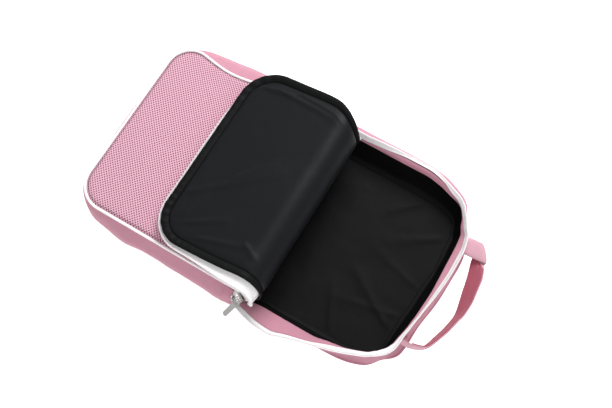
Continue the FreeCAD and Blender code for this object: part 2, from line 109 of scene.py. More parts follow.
def through(stations, values, at, period=None):
    """A smooth curve through the values that never overshoots them."""
    x, v = np.asarray(stations, float), np.asarray(values, float)
    order = np.argsort(x)
    x, v = x[order], v[order]
    at = np.asarray(at, float)
    if period:
        x, v = np.r_[x[-1] - period, x, x[0] + period], np.r_[v[-1], v, v[0]]
        at = (at - x[1]) % period + x[1]
    else:
        at = np.clip(at, x[0], x[-1])
    step, rise = np.diff(x), np.diff(v)
    slope = rise / step
    inner = slope[:-1] * slope[1:]
    mean = np.where(inner > 0, 2 * inner / np.where(inner > 0, slope[:-1] + slope[1:], 1), 0)
    ends = (mean[-1], mean[0]) if period else (slope[0], slope[-1])
    tangent = np.r_[ends[0], mean, ends[1]]
    k = np.clip(np.searchsorted(x, at, side="right") - 1, 0, len(x) - 2)
    t = (at - x[k]) / step[k]
    hermite = (
        (2 * t**3 - 3 * t**2 + 1) * v[k]
        + (t**3 - 2 * t**2 + t) * step[k] * tangent[k]
        + (-2 * t**3 + 3 * t**2) * v[k + 1]
        + (t**3 - t**2) * step[k] * tangent[k + 1]
    )
    return hermite


def ease(t):
    t = np.clip(t, 0, 1)
    return t * t * (3 - 2 * t)


def soft_noise(x, y, seed):
    """Smooth noise from -1 to 1 on a unit lattice, the same on every run."""
    ix, iy = np.floor(x), np.floor(y)
    fx, fy = ease(x - ix), ease(y - iy)

    def at(i, j):
        h = np.sin((ix + i) * 127.1 + (iy + j) * 311.7 + seed * 74.7) * 43758.5453
        return 2 * (h - np.floor(h)) - 1

    low = at(0, 0) * (1 - fx) + at(1, 0) * fx
    high = at(0, 1) * (1 - fx) + at(1, 1) * fx
    return low * (1 - fy) + high * fy


def rumple(x, y, size, seed):
    """Three layers of soft noise; size is the largest rumple's width."""
    x, y = np.asarray(x, float) / size, np.asarray(y, float) / size
    return (soft_noise(x, y, seed) + 0.5 * soft_noise(2.1 * x, 2.1 * y, seed + 1)
            + 0.25 * soft_noise(4.3 * x, 4.3 * y, seed + 2)) / 1.4


def pull_line(x, y, start, end, width, height):
    """A ridge drawn through cloth from a tight point: narrow and high there, wide and low at its end."""
    (x0, y0), (x1, y1) = start, end
    dx, dy = x1 - x0, y1 - y0
    t = np.clip(((x - x0) * dx + (y - y0) * dy) / (dx * dx + dy * dy), 0, 1)
    off = np.hypot(x - x0 - t * dx, y - y0 - t * dy)
    spread = width * (0.3 + 0.7 * t)
    return height * (1 - t) ** 0.6 * ease(t * 6 + 0.35) * np.exp(-((off / spread) ** 2))


def unit(v):
    return v / np.maximum(np.linalg.norm(v, axis=-1, keepdims=True), 1e-9)


def outline(s):
    """Points and outward directions on the front's outline, at these distances round it."""
    s = np.asarray(s, float) % ROUND
    point, out = np.zeros(s.shape + (2,)), np.zeros(s.shape + (2,))
    x_in, y_in = HALF_WIDTH - CORNER_TOP, SIDE
    x_low, y_low = HALF_WIDTH - CORNER_BOTTOM, LOW_SIDE
    runs = [
        ("line", SIDE, (HALF_WIDTH, 0), (0, 1)),
        ("arc", TOP_ARC, (x_in, y_in), (CORNER_TOP, 0)),
        ("line", TOP_RUN, (x_in, HALF_LENGTH), (-1, 0)),
        ("arc", TOP_ARC, (-x_in, y_in), (CORNER_TOP, 90)),
        ("line", SIDE + LOW_SIDE, (-HALF_WIDTH, SIDE), (0, -1)),
        ("arc", BOTTOM_ARC, (-x_low, -y_low), (CORNER_BOTTOM, 180)),
        ("line", BOTTOM_RUN, (-x_low, -HALF_LENGTH), (1, 0)),
        ("arc", BOTTOM_ARC, (x_low, -y_low), (CORNER_BOTTOM, 270)),
        ("line", LOW_SIDE, (HALF_WIDTH, -LOW_SIDE), (0, 1)),
    ]
    start = 0.0
    for kind, length, first, second in runs:
        here = (s >= start - 1e-9) & (s <= start + length + 1e-9)
        d = (s[here] - start)[:, None]
        if kind == "line":
            point[here] = np.array(first) + d * np.array(second)
            out[here] = (second[1], -second[0])
        else:
            radius, turn = second
            a = math.radians(turn) + d / radius
            out[here] = np.hstack([np.cos(a), np.sin(a)])
            point[here] = np.array(first) + radius * out[here]
        start += length
    return point, out


def drawn_in(s):
    """How far the slack body is drawn in at the two corners beside the handle."""
    return (19 * np.exp(-(((s - 204) / 36) ** 2)) + 9 * np.exp(-(((s - 272) / 38) ** 2))
            + 14 * np.exp(-(((s - 415) / 28) ** 2)) + 3 * np.exp(-(((s - 345) / 40) ** 2)))


def draw_in(x, y):
    """The same, for points of the back and floor: most at the edge, nothing well inside it."""
    dx, dy = np.abs(x) - (HALF_WIDTH - CORNER_TOP), y - SIDE
    reach = np.hypot(np.maximum(dx, 0), np.maximum(dy, 0))
    turn = np.arctan2(np.maximum(dy, 0), np.maximum(dx, 1e-6))
    along = np.where(dx <= 0, TOP_ARC - dx, np.where(dy <= 0, dy, turn * CORNER_TOP))
    s = np.where(x > 0, SIDE + along, SIDE + 2 * TOP_ARC + TOP_RUN - along)
    pull = drawn_in(s) * np.clip(reach / CORNER_TOP, 0, 1) / np.maximum(reach, 1e-6)
    return x - np.sign(x) * np.maximum(dx, 0) * pull, y - np.maximum(dy, 0) * pull


def round_case(s, u, z):
    """A grid of points round the case: u is the distance outside the outline, z the height."""
    point, out = outline(s)
    xy = point[:, None, :] + out[:, None, :] * u[..., None]
    return np.concatenate([xy, z[..., None]], axis=-1)


def resample(curves, count):
    """Smooth curves (..., points, dims) through their points, cut into count even steps."""
    curves = np.asarray(curves, float)
    made = np.zeros(curves.shape[:-2] + (count, curves.shape[-1]))
    for index in np.ndindex(curves.shape[:-2]):
        c = curves[index]
        run = np.r_[0, np.cumsum(np.linalg.norm(np.diff(c, axis=0), axis=1))]
        fine = np.linspace(0, run[-1], count)
        for k in range(c.shape[1]):
            made[index][:, k] = through(run, c[:, k], fine)
    return made


def normals(grid, loop=False):
    """Unit normals of a grid of points."""
    if loop:
        wide = np.concatenate([grid[-1:], grid, grid[:1]], axis=0)
        along = (wide[2:] - wide[:-2])
    else:
        along = np.gradient(grid, axis=0)
    across = np.gradient(grid, axis=1)
    return unit(np.cross(along, across))


def new_mesh(name, points, faces, material, cloth=None):
    mesh = bpy.data.meshes.new(name)
    mesh.from_pydata((np.asarray(points) * MM).tolist(), [], faces)
    mesh.validate()
    mesh.polygons.foreach_set("use_smooth", [True] * len(mesh.polygons))
    if cloth is not None:
        layer = mesh.attributes.new("cloth", "FLOAT_VECTOR", "POINT")
        flat = np.zeros((len(points), 3), np.float32)
        flat[:, :2] = cloth
        layer.data.foreach_set("vector", flat.ravel())
    mesh.update()
    piece = bpy.data.objects.new(name, mesh)
    bpy.context.scene.collection.objects.link(piece)
    piece.data.materials.append(material)
    return piece


def slab(name, upper, lower, material, loop=False, cloth=None):
    """A closed piece between two grids of points with the same layout."""
    rows, cols = upper.shape[:2]
    count = rows * cols
    points = np.concatenate([upper.reshape(-1, 3), lower.reshape(-1, 3)])
    faces = []
    span = rows if loop else rows - 1
    for i in range(span):
        j = (i + 1) % rows
        for k in range(cols - 1):
            a, b, c, d = i * cols + k, j * cols + k, j * cols + k + 1, i * cols + k + 1
            faces.append((a, b, c, d))
            faces.append((count + d, count + c, count + b, count + a))
        for k, flip in ((0, False), (cols - 1, True)):
            a, b = i * cols + k, j * cols + k
            side = (a, count + a, count + b, b)
            faces.append(side[::-1] if flip else side)
    if not loop:
        for i, flip in ((0, True), (rows - 1, False)):
            for k in range(cols - 1):
                a, b = i * cols + k, i * cols + k + 1
                side = (a, count + a, count + b, b)
                faces.append(side[::-1] if flip else side)
    if cloth is not None:
        cloth = np.concatenate([cloth.reshape(-1, 2), cloth.reshape(-1, 2)])
    piece = new_mesh(name, points, faces, material, cloth)
    set_outward(piece)
    return piece


def set_outward(piece):
    b = bmesh.new()
    b.from_mesh(piece.data)
    bmesh.ops.recalc_face_normals(b, faces=b.faces)
    b.to_mesh(piece.data)
    b.free()


def cloth_piece(name, grid, thickness, material, start=0.0, loop=False, cloth=None):
    """A sheet of cloth: the grid is its outer face, or start deeper than the grid."""
    into = -normals(grid, loop)
    upper = grid + into * start
    lower = grid + into * (start + thickness)
    return slab(name, upper, lower, material, loop, cloth)


def tube(name, path, radius, material, sides=10, closed=False, up=(0, 0, 1)):
    """A round cord along a path of points."""
    path = np.asarray(path, float)
    if closed:
        wide = np.concatenate([path[-1:], path, path[:1]])
        along = unit(wide[2:] - wide[:-2])
    else:
        along = unit(np.gradient(path, axis=0))
    up = np.broadcast_to(np.asarray(up, float), path.shape)
    side = unit(np.cross(along, up))
    lift = unit(np.cross(side, along))
    turn = np.linspace(0, 2 * math.pi, sides, endpoint=False)
    radius = np.broadcast_to(np.asarray(radius, float), (len(path),))[:, None, None]
    ring = np.cos(turn)[None, :, None] * side[:, None] + np.sin(turn)[None, :, None] * lift[:, None]
    points = path[:, None] + ring * radius
    count = len(path)
    faces = []
    for i in range(count if closed else count - 1):
        j = (i + 1) % count
        for k in range(sides):
            m = (k + 1) % sides
            faces.append((i * sides + k, j * sides + k, j * sides + m, i * sides + m))
    if not closed:
        faces.append(tuple(range(sides))[::-1])
        faces.append(tuple((count - 1) * sides + k for k in range(sides)))
    piece = new_mesh(name, points.reshape(-1, 3), faces, material)
    set_outward(piece)
    return piece


def stitches(name, path, up, pitch, length, radius, material):
    """A row of separate sewn stitches along a path."""
    run = np.r_[0, np.cumsum(np.linalg.norm(np.diff(path, axis=0), axis=1))]
    at = np.arange(pitch / 2, run[-1] - pitch / 2, pitch)
    points, faces = [], []
    sides, rings = 6, 5
    for s in at:
        along = np.linspace(-length / 2, length / 2, rings) + s
        centre = np.stack([np.interp(along, run, path[:, k]) for k in range(3)], axis=1)
        lift = np.array([np.interp(s, run, up[:, k]) for k in range(3)])
        direction = unit(centre[-1] - centre[0])
        side = unit(np.cross(direction, lift))
        lift = np.cross(side, direction)
        bulge = np.sin(np.linspace(0.12, math.pi - 0.12, rings))
        base = len(points)
        for r in range(rings):
            for k in range(sides):
                a = 2 * math.pi * k / sides
                offset = (math.cos(a) * side + math.sin(a) * lift) * radius * bulge[r] ** 0.5
                points.append(centre[r] + offset + lift * radius * (bulge[r] - 0.6))
        for r in range(rings - 1):
            for k in range(sides):
                m = (k + 1) % sides
                faces.append((base + r * sides + k, base + (r + 1) * sides + k,
                              base + (r + 1) * sides + m, base + r * sides + m))
        faces.append(tuple(base + k for k in range(sides))[::-1])
        faces.append(tuple(base + (rings - 1) * sides + k for k in range(sides)))
    piece = new_mesh(name, np.array(points), faces, material)
    set_outward(piece)
    return piece


def coil(name, path, out, up, material, pitch=1.5, reach=0.95, height=0.95, wire=0.34):
    """A zip's nylon coil, wound round the tape's edge."""
    run = np.r_[0, np.cumsum(np.linalg.norm(np.diff(path, axis=0), axis=1))]
    turns = int(run[-1] / pitch)
    steps = 9
    s = np.linspace(0, turns * pitch, turns * steps + 1)
    s = s[s <= run[-1]]
    phase = 2 * math.pi * s / pitch

    def along(values):
        return np.stack([np.interp(s, run, values[:, k]) for k in range(3)], axis=1)

    line = along(path) + along(out) * (reach * np.cos(phase))[:, None]
    line = line + along(up) * (height * np.sin(phase))[:, None]
    return tube(name, line, wire, material, sides=5, up=along(unit(np.gradient(path, axis=0))))


# ---- Materials -------------------------------------------------------------------------------

def colour(code):
    """A colour written as sRGB hex, in the linear values that the shader takes."""
    parts = [int(code[i:i + 2], 16) / 255 for i in (1, 3, 5)]
    return tuple(c / 12.92 if c <= 0.04045 else ((c + 0.055) / 1.055) ** 2.4 for c in parts) + (1,)


def node(tree, kind, inputs=None, **settings):
    """A shader node with its settings, and its inputs given as values or as other nodes' outputs."""
    made = tree.nodes.new(kind)
    for name, value in settings.items():
        setattr(made, name, value)
    for key, value in (inputs or {}).items():
        if isinstance(value, bpy.types.NodeSocket):
            tree.links.new(value, made.inputs[key])
        else:
            made.inputs[key].default_value = value
    return made


def finish(name, tint, roughness, sheen=0.0, metallic=0.0):
    made = bpy.data.materials.new(name)
    made.use_nodes = True
    tree = made.node_tree
    shader = tree.nodes["Principled BSDF"]
    shader.inputs["Base Color"].default_value = colour(tint)
    shader.inputs["Roughness"].default_value = roughness
    shader.inputs["Metallic"].default_value = metallic
    if metallic == 0:
        shader.inputs["Specular IOR Level"].default_value = 0.3
        shader.inputs["Sheen Weight"].default_value = sheen
        shader.inputs["Sheen Roughness"].default_value = 0.4
    made.diffuse_color = colour(tint)
    return made, tree, shader


def place_in_mm(tree):
    """The rest position in millimetres."""
    at = node(tree, "ShaderNodeTexCoord")
    return node(tree, "ShaderNodeVectorMath", {0: at.outputs["Object"], 1: (1000, 1000, 1000)},
                operation="MULTIPLY").outputs[0]


def maths(tree, operation, first, second=0.0):
    return node(tree, "ShaderNodeMath", {0: first, 1: second}, operation=operation).outputs[0]


def weave(name, tint, roughness, thread, depth, rumple_depth, shade=0.10, sheen=0.15, shine=0.3):
    """Plain woven cloth: the threads' fine grain and the soft rumples that handling leaves."""
    made, tree, shader = finish(name, tint, roughness, sheen)
    shader.inputs["Specular IOR Level"].default_value = shine
    at = place_in_mm(tree)
    warp = node(tree, "ShaderNodeTexWave",
                {"Vector": at, "Scale": WAVE_REPEAT / thread, "Distortion": 0.6, "Detail": 1.0}, bands_direction="X")
    weft = node(tree, "ShaderNodeTexWave",
                {"Vector": at, "Scale": WAVE_REPEAT / thread, "Distortion": 0.6, "Detail": 1.0}, bands_direction="Y")
    third = node(tree, "ShaderNodeTexWave",
                 {"Vector": at, "Scale": WAVE_REPEAT / thread, "Distortion": 0.6, "Detail": 1.0}, bands_direction="Z")
    grain = maths(tree, "ADD", maths(tree, "MULTIPLY", warp.outputs["Fac"], weft.outputs["Fac"]),
                  third.outputs["Fac"])
    soft = node(tree, "ShaderNodeTexNoise", {"Vector": at, "Scale": 0.09, "Detail": 3.0, "Roughness": 0.5})
    tone = node(tree, "ShaderNodeMix", {
        "Factor": soft.outputs["Fac"], 6: colour(tint), 7: tuple(c * (1 - shade) for c in colour(tint)[:3]) + (1,),
    }, data_type="RGBA")
    tree.links.new(tone.outputs[2], shader.inputs["Base Color"])
    fine = node(tree, "ShaderNodeBump", {"Height": grain, "Distance": depth * MM, "Strength": 0.6})
    broad = node(tree, "ShaderNodeBump", {
        "Height": soft.outputs["Fac"], "Distance": rumple_depth * MM, "Strength": 1.0, "Normal": fine.outputs[0],
    })
    tree.links.new(broad.outputs[0], shader.inputs["Normal"])
    return made


def spacer_mesh(name, tint, hole):
    """Knitted spacer mesh: rows of small holes, each row set half a hole along from the next."""
    made, tree, shader = finish(name, tint, 0.8, 0.2)
    flat = node(tree, "ShaderNodeAttribute", attribute_name="cloth")
    parts = node(tree, "ShaderNodeSeparateXYZ", {0: flat.outputs["Vector"]})
    across = maths(tree, "COSINE", maths(tree, "MULTIPLY", parts.outputs[0], 2 * math.pi / 4.4))
    along = maths(tree, "COSINE", maths(tree, "MULTIPLY", parts.outputs[1], 2 * math.pi / 3.8))
    lattice = maths(tree, "MULTIPLY", across, along)
    holes = node(tree, "ShaderNodeMapRange", {"Value": lattice, "From Min": 0.16, "From Max": 0.6})
    tone = node(tree, "ShaderNodeMix", {"Factor": holes.outputs[0], 6: colour(tint), 7: colour(hole)}, data_type="RGBA")
    tree.links.new(tone.outputs[2], shader.inputs["Base Color"])
    dip = node(tree, "ShaderNodeBump", {"Height": holes.outputs[0], "Distance": 0.9 * MM, "Strength": 0.8},
               invert=True)
    tree.links.new(dip.outputs[0], shader.inputs["Normal"])
    return made


def ribbed(name, tint, roughness, rib, depth, sheen=0.1):
    """Narrow woven tape or webbing: fine ribs that run across it."""
    made, tree, shader = finish(name, tint, roughness, sheen)
    at = place_in_mm(tree)
    ribs = node(tree, "ShaderNodeTexWave", {"Vector": at, "Scale": WAVE_REPEAT / rib, "Distortion": 0.4},
                bands_direction="DIAGONAL")
    bump = node(tree, "ShaderNodeBump", {"Height": ribs.outputs["Fac"], "Distance": depth * MM, "Strength": 0.5})
    tree.links.new(bump.outputs[0], shader.inputs["Normal"])
    return made


# Dyed polyester canvas, plain woven: a matt rose skin with faint rumples.
rose_cloth = weave("rose_canvas_woven", "#c48a9b", 0.82, 0.5, 0.10, 0.9)
# The same canvas made darker and deeper rose: painted shade of the handle's inner face, which faces away from the
# light.
rose_cloth_painted_shade = weave("rose_canvas_painted_shade_woven", "#ab5868", 0.8, 0.8, 0.14, 0.5)
# The rose canvas made lighter for the handle strap: painted light, as its flat end faces the light.
rose_cloth_painted_light = weave("rose_canvas_painted_light_woven", "#cfa0ae", 0.82, 0.5, 0.10, 0.5)
# Thin black polyester lining: smooth enough to show a soft light along each crease.
black_lining = weave("black_lining_woven", "#121316", 0.46, 0.35, 0.03, 0.25, 0.2, 0.0, 0.15)
# The same lining on the floor and walls, duller, and darker as painted shade of the deep compartment.
black_lining_painted_shade = weave("black_lining_painted_shade_woven", "#0b0b0d", 0.6, 0.35, 0.03, 0.3, 0.2, 0.0, 0.10)
# The lining's cut edge, bound and pressed flat.
black_border = weave("black_binding_woven", "#08090a", 0.6, 0.4, 0.03, 0.15, 0.1, 0.0, 0.12)
# Knitted spacer mesh over the pads: pale loops round darker holes.
front_cloth = spacer_mesh("rose_spacer_mesh_knitted", "#e0adbf", "#7d3f57")
# Foam, seen only at a cut edge.
foam = finish("grey_foam_cut", "#5b5b5e", 0.95)[0]
# White plastic-cored piping, covered in smooth bias tape.
piping_cloth = ribbed("white_piping_covered", "#fbf7f9", 0.5, 0.6, 0.05)
# White woven zip tape.
zip_tape = ribbed("white_zip_tape_woven", "#fcfafb", 0.7, 0.7, 0.08)
# White nylon coil, wound and set.
zip_coil = finish("white_nylon_coil_wound", "#fbf9fa", 0.35)[0]
# Sewing thread in rose.
rose_thread = finish("rose_thread_twisted", "#b8667c", 0.6)[0]
# Dark sewing thread along the piping.
dark_thread = finish("dark_thread_twisted", "#4d3640", 0.6)[0]
# Cast zinc, plated bright: sharp small reflections on the slider and its tab.
plated = finish("zinc_plated_bright", "#d5d3d0", 0.24, metallic=1.0)[0]


def belongs(piece, nodes, body):
    """Puts a made piece in the place of its CAD nodes, on one body."""
    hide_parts(*nodes)
    if body:
        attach(piece, body)
    return piece


# ---- The front panel, its fold and the flap: one line bent in three parts ----------------------

BEND_START, BEND_LENGTH, BEND_TURN, BEND_SOFT = 10.0, 86.0, math.radians(193.5), 0.16
CUT = 50.0
FLAP_END = HALF_LENGTH
SEAM_HALF = 112.0

_line = np.linspace(-220, 245, 4651)
_share = (_line - BEND_START) / BEND_LENGTH
_bend = ease(np.clip(np.minimum(_share, 1 - _share) / BEND_SOFT, 0, 1))
_turn = np.cumsum(_bend)
_turn = _turn / _turn[-1] * BEND_TURN
_step = _line[1] - _line[0]
_y = np.cumsum(np.cos(_turn)) * _step
_z = np.cumsum(np.sin(_turn)) * _step
_y -= np.interp(0, _line, _y)
_z += PAD_MIDDLE - np.interp(0, _line, _z)


def on_fold(x, l, depth):
    """A point of the front or flap: x across, l along the cloth, depth below the mid-line (towards the lining)."""
    x, l, depth = np.broadcast_arrays(np.asarray(x, float), l, depth)
    a = np.interp(l, _line, _turn)
    y = np.interp(l, _line, _y) + depth * np.sin(a)
    z = np.interp(l, _line, _z) - depth * np.cos(a)
    on_flap = ease((l - 40) / 60)
    lean = -8.0 * on_flap
    wide = 1 + 0.012 * on_flap
    side = np.clip(np.abs(x) / HALF_WIDTH, 0, 1.2)
    far_tuck = 15 * np.exp(-(((l - 56) / 29) ** 2)) * np.where(x < 0, side**3, 0)
    near_tuck = -4.5 * np.exp(-(((l - 62) / 30) ** 2)) * np.where(x > 0, side**3, 0)
    bow = 8 * np.exp(-(((l + 142) / 40) ** 2)) * np.where(x < 0, side**4, 0)
    return np.stack([x * wide + lean + far_tuck + near_tuck + bow, y, z], axis=-1)


def edge_inset(x, l, half, low, high, r_low, r_high):
    """How far inside a rounded rectangle a point is."""
    x = np.abs(x)
    side = half - x
    below, above = l - low, high - l

    def corner(end, r):
        inside = np.minimum(side, end)
        dx, dl = np.maximum(r - side, 0), np.maximum(r - end, 0)
        return np.where((side < r) & (end < r), r - np.hypot(dx, dl), inside)

    return np.minimum(corner(below, r_low), corner(above, r_high))


def rows_of(low, high, half, r_low, r_high, count, across):
    """Flat grid of a rounded rectangle: its rows run across and close in round the corners."""
    l = []
    if r_low:
        l.append(low + r_low * (1 - np.cos(np.linspace(0, math.pi / 2, 15)[:-1])))
    l.append(np.linspace(low + r_low, high - r_high, count))
    if r_high:
        l.append(high - r_high * (1 - np.cos(np.linspace(math.pi / 2, 0, 15)[1:])))
    l = np.concatenate(l)
    reach = np.full(len(l), float(half))
    if r_low:
        k = l < low + r_low
        reach[k] = half - r_low + np.sqrt(np.maximum(r_low**2 - (low + r_low - l[k]) ** 2, 0))
    if r_high:
        k = l > high - r_high
        reach[k] = half - r_high + np.sqrt(np.maximum(r_high**2 - (l[k] - high + r_high) ** 2, 0))
    t = np.linspace(-1, 1, across)
    t = np.sign(t) * (1 - (1 - np.abs(t)) ** 1.25)
    return t[None, :] * reach[:, None], np.repeat(l[:, None], across, axis=1)


def rounded(inset, radius, top):
    """How high a pad's face stands over its middle at this distance from its edge."""
    t = np.clip(inset / radius, 0, 1)
    return top * np.sqrt(np.maximum(1 - (1 - t) ** 2, 0))


def sag_front(x, l):
    """Slow swells of the padded front, so that its face isn't a machined plane."""
    return 0.9 * rumple(x + 300, l + 300, 120, 3) * ease((HALF_WIDTH - np.abs(x)) / 30)


def flap_creases(x, l):
    """The flap's pulled lines and puckers, in millimetres towards its lining side."""
    h = 0.7 * rumple(x + 300, l + 90, 95, 11)
    h = h + pull_line(x, l, (62, 203), (-14, 104), 6.5, 2.6)
    h = h - pull_line(x, l, (56, 198), (-2, 120), 5, 1.2)
    h = h + pull_line(x, l, (95, 183), (66, 130), 5, 1.8)
    h = h + pull_line(x, l, (22, 160), (-20, 120), 7, 1.5)
    h = h + pull_line(x, l, (104, 160), (84, 84), 4.5, 1.6)
    h = h + pull_line(x, l, (84, 104), (100, 72), 5, 1.4)
    h = h + pull_line(x, l, (-97, 201), (-101, 150), 3.5, 1.8)\
        + pull_line(x, l, (-102, 178), (-94, 80), 3.5, 2.0)
    h = h + pull_line(x, l, (-108, 150), (-99, 66), 3.5, 1.5)
    h = h + pull_line(x, l, (88, 190), (40, 176), 5, 1.3)
    return h


def bends_low(piece):
    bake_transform(piece)
    return piece


def bends_high(piece):
    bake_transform(piece)
    return piece


def half_width_low(l):
    """The front's half width inside its piping: it draws in as it becomes the fold."""
    return HALF_WIDTH - 1.8 - (HALF_WIDTH - 1.8 - SEAM_HALF) * ease((l - 6) / 40)


# The padded front: spacer mesh over foam, closed round its edge.
x, l = rows_of(-HALF_LENGTH + 1.8, CUT, HALF_WIDTH - 1.8, CORNER_BOTTOM - 1.8, 0, 120, 61)
inset = edge_inset(x, l, HALF_WIDTH - 1.8, -HALF_LENGTH + 1.8, 400, CORNER_BOTTOM - 1.8, 1)
x = x * (half_width_low(l) / (HALF_WIDTH - 1.8))
swell = sag_front(x, l) * ease((20 - l) / 40)
top = on_fold(x, l, -rounded(inset, 9, 3.2) + 0.6 - swell)
under = on_fold(x, l, rounded(inset, 5, 1.9) + 0.4 - swell)
front_pad = slab("front_pad", top, under, front_cloth, cloth=np.stack([x, l], -1))
belongs(front_pad, ("front_mesh", "front_foam", "fold_mesh", "fold_foam"), None)
bends_low(front_pad)

upper = on_fold(x, l, rounded(inset, 5, 1.9) + 0.5 - swell)
lower = on_fold(x, l, rounded(inset, 5, 1.9) + 1.1 - swell + 0.2)
front_lining = slab("front_lining_sheet", upper, lower, black_lining)
belongs(front_lining, ("front_lining", "fold_lining"), None)
bends_low(front_lining)

# The flap's pad, its mesh on the far side from the lining.
x, l = rows_of(CUT, FLAP_END - 9, SEAM_HALF, 0, 33, 110, 75)
inset = edge_inset(x, l, SEAM_HALF, -400, FLAP_END - 9, 1, 33)
creases = flap_creases(x, l)
top = on_fold(x, l, -rounded(inset, 8, 3.0) + 0.6)
under = on_fold(x, l, rounded(inset, 5, 2.0) + 0.5)
flap_pad = slab("flap_pad", top, under, front_cloth, cloth=np.stack([x, l], -1))
belongs(flap_pad, ("flap_mesh", "flap_foam"), None)
bends_high(flap_pad)

face = rounded(inset, 10, 2.6) + 0.5 + creases * ease(inset / 8) + 0.5
upper = on_fold(x, l, np.maximum(rounded(inset, 5, 2.0) + 0.65, face))
lower = on_fold(x, l, np.maximum(rounded(inset, 5, 2.0) + 0.65, face) + LINING_CLOTH)
flap_lining = slab("flap_lining_sheet", upper, lower, black_lining)
belongs(flap_lining, ("flap_lining",), None)
bends_high(flap_lining)


def flap_edge(q, half, end, radius):
    """The flap's edge from the near side's cut, round the free end, to the far side's cut."""
    run = end - radius - CUT
    arc = math.pi / 2 * radius
    across = 2 * (half - radius)
    total = 2 * run + 2 * arc + across
    q = np.asarray(q) * total
    p, n = np.zeros(q.shape + (2,)), np.zeros(q.shape + (2,))
    a = q <= run
    p[a], n[a] = np.stack([np.full(a.sum(), half), CUT + q[a]], -1), (1, 0)
    b = (q > run) & (q <= run + arc)
    t = (q[b] - run) / radius
    n[b] = np.stack([np.cos(t), np.sin(t)], -1)
    p[b] = (half - radius, end - radius) + radius * n[b]
    c = (q > run + arc) & (q <= run + arc + across)
    p[c], n[c] = np.stack([half - radius - (q[c] - run - arc), np.full(c.sum(), end)], -1), (0, 1)
    d = (q > run + arc + across) & (q <= run + 2 * arc + across)
    t = (q[d] - run - arc - across) / radius + math.pi / 2
    n[d] = np.stack([np.cos(t), np.sin(t)], -1)
    p[d] = (radius - half, end - radius) + radius * n[d]
    e = q > run + 2 * arc + across
    p[e], n[e] = np.stack([np.full(e.sum(), -half), end - radius - (q[e] - run - 2 * arc - across)], -1), (-1, 0)
    return p, n, q


def flap_strip(q, offsets, depths):
    """A grid along the flap's edge: distance outside its seam, and depth, for each column."""
    p, n, _ = flap_edge(q, SEAM_HALF, FLAP_END - 9, 33)
    flat = p[:, None, :] + n[:, None, :] * offsets[..., None]
    return on_fold(flat[..., 0], flat[..., 1], depths), flat


q = np.linspace(0, 1, 420)
p, n, run = flap_edge(q, SEAM_HALF, FLAP_END - 9, 33)
pucker = (0.55 * rumple(run, run * 0 + 4, 16, 21) + 0.8 * np.exp(-(((run - 150) / 32) ** 2)) * (0.8 + np.sin(run / 1.5))
          + 0.4 * np.exp(-(((run - 350) / 40) ** 2)) * (0.8 + np.sin(run / 1.9)))
span = np.linspace(0, 1, 9)[None, :]
raise_up = 2.0 + pucker[:, None]
offsets = -0.4 + 9.6 * span + 0 * raise_up
depths = 1.2 + raise_up * np.sin(math.pi * (0.12 + 0.62 * span)) * 1.2 + 1.0 * span
grid, _ = flap_strip(q, offsets, depths)
grid_low, _ = flap_strip(q, offsets, depths - 1.4)
flap_border = slab("flap_border_band", grid, grid_low, black_border)
belongs(flap_border, ("flap_border",), None)
bends_high(flap_border)

p, n, run = flap_edge(q, SEAM_HALF, FLAP_END - 9, 33)
centre = on_fold(p[:, 0] + n[:, 0] * 1.2, p[:, 1] + n[:, 1] * 1.2, -0.6)
flap_piping = tube("flap_piping_cord", centre, 1.6, piping_cloth, up=(0, 0, 1))
belongs(flap_piping, ("flap_piping",), None)
bends_high(flap_piping)

# The flap's zip tape: white, and hanging loose and wide beside the fold on the slider's side.
wide = through([0, 18, 40, 70, 105, 150, 285, 325, 350, 560],
               [13, 15, 13, 9, 5.6, 3.8, 3.4, 1.5, -2.0, -2.5], run)
tape_curl = through([0, 30, 80, 150, 300, 560], [-3.5, -3.0, -1.5, 0.0, 0.6, 0.2], run)
tape_under = through([0, 120, 200, 285, 330, 560], [1.6, 1.0, 1.0, 1.0, -0.8, -0.8], run)
offsets = 3.0 + (wide[:, None] + 6.2) * np.linspace(0, 1, 8)[None, :]
depths = (
    tape_under[:, None]
    + np.linspace(0, 1, 8)[None, :] * (tape_curl[:, None] + 0.6 * rumple(run, run * 0, 22, 31)[:, None])
    - 1.0 * np.sin(math.pi * np.linspace(0, 1, 8))[None, :]
)
grid, _ = flap_strip(q, offsets, depths)
grid_low, _ = flap_strip(q, offsets, depths - TAPE_CLOTH)
flap_tape = slab("flap_zip_tape_band", grid, grid_low, zip_tape)
belongs(flap_tape, ("flap_zip_tape",), None)
bends_high(flap_tape)

edge = grid[:, -1]
side_way = unit(grid[:, -1] - grid[:, -2])
up_way = unit(grid[:, -1] - grid_low[:, -1])
flap_coil = coil("flap_zip_coil_wound", edge + up_way * 0.9 - side_way * 1.2, side_way, up_way, zip_coil)
belongs(flap_coil, ("flap_zip_coil",), None)
bends_high(flap_coil)


# The fold's two short side bands, tapes and coils, from the slider's end up to the cut.
def fold_side_band(name, out_a, out_b, depth_a, depth_b, thick, material, start, curve=0.0):
    made = []
    for side in (1, -1):
        l = np.linspace(start, CUT, 40)
        t = np.linspace(0, 1, 8)
        x = side * (half_width_low(l)[:, None]
                    + out_a(l, side)[:, None] * (1 - t) + out_b(l, side)[:, None] * t)
        depth = (depth_a(l, side)[:, None] * (1 - t) + depth_b(l, side)[:, None] * t
                 + curve * np.sin(math.pi * t))
        grid = on_fold(x, l[:, None], depth)
        low = on_fold(x, l[:, None], depth - thick)
        made.append(slab(f"{name}_{'near' if side > 0 else 'far'}", grid, low, material))
    joined = join(made, name)
    return joined


def join(pieces, name):
    """Joins meshes made of the same material into one piece."""
    b = bmesh.new()
    for piece in pieces:
        b.from_mesh(piece.data)
    mesh = bpy.data.meshes.new(name)
    b.to_mesh(mesh)
    b.free()
    mesh.materials.append(pieces[0].data.materials[0])
    for old in pieces:
        bpy.data.objects.remove(old, do_unlink=True)
    made = bpy.data.objects.new(name, mesh)
    bpy.context.scene.collection.objects.link(made)
    return made


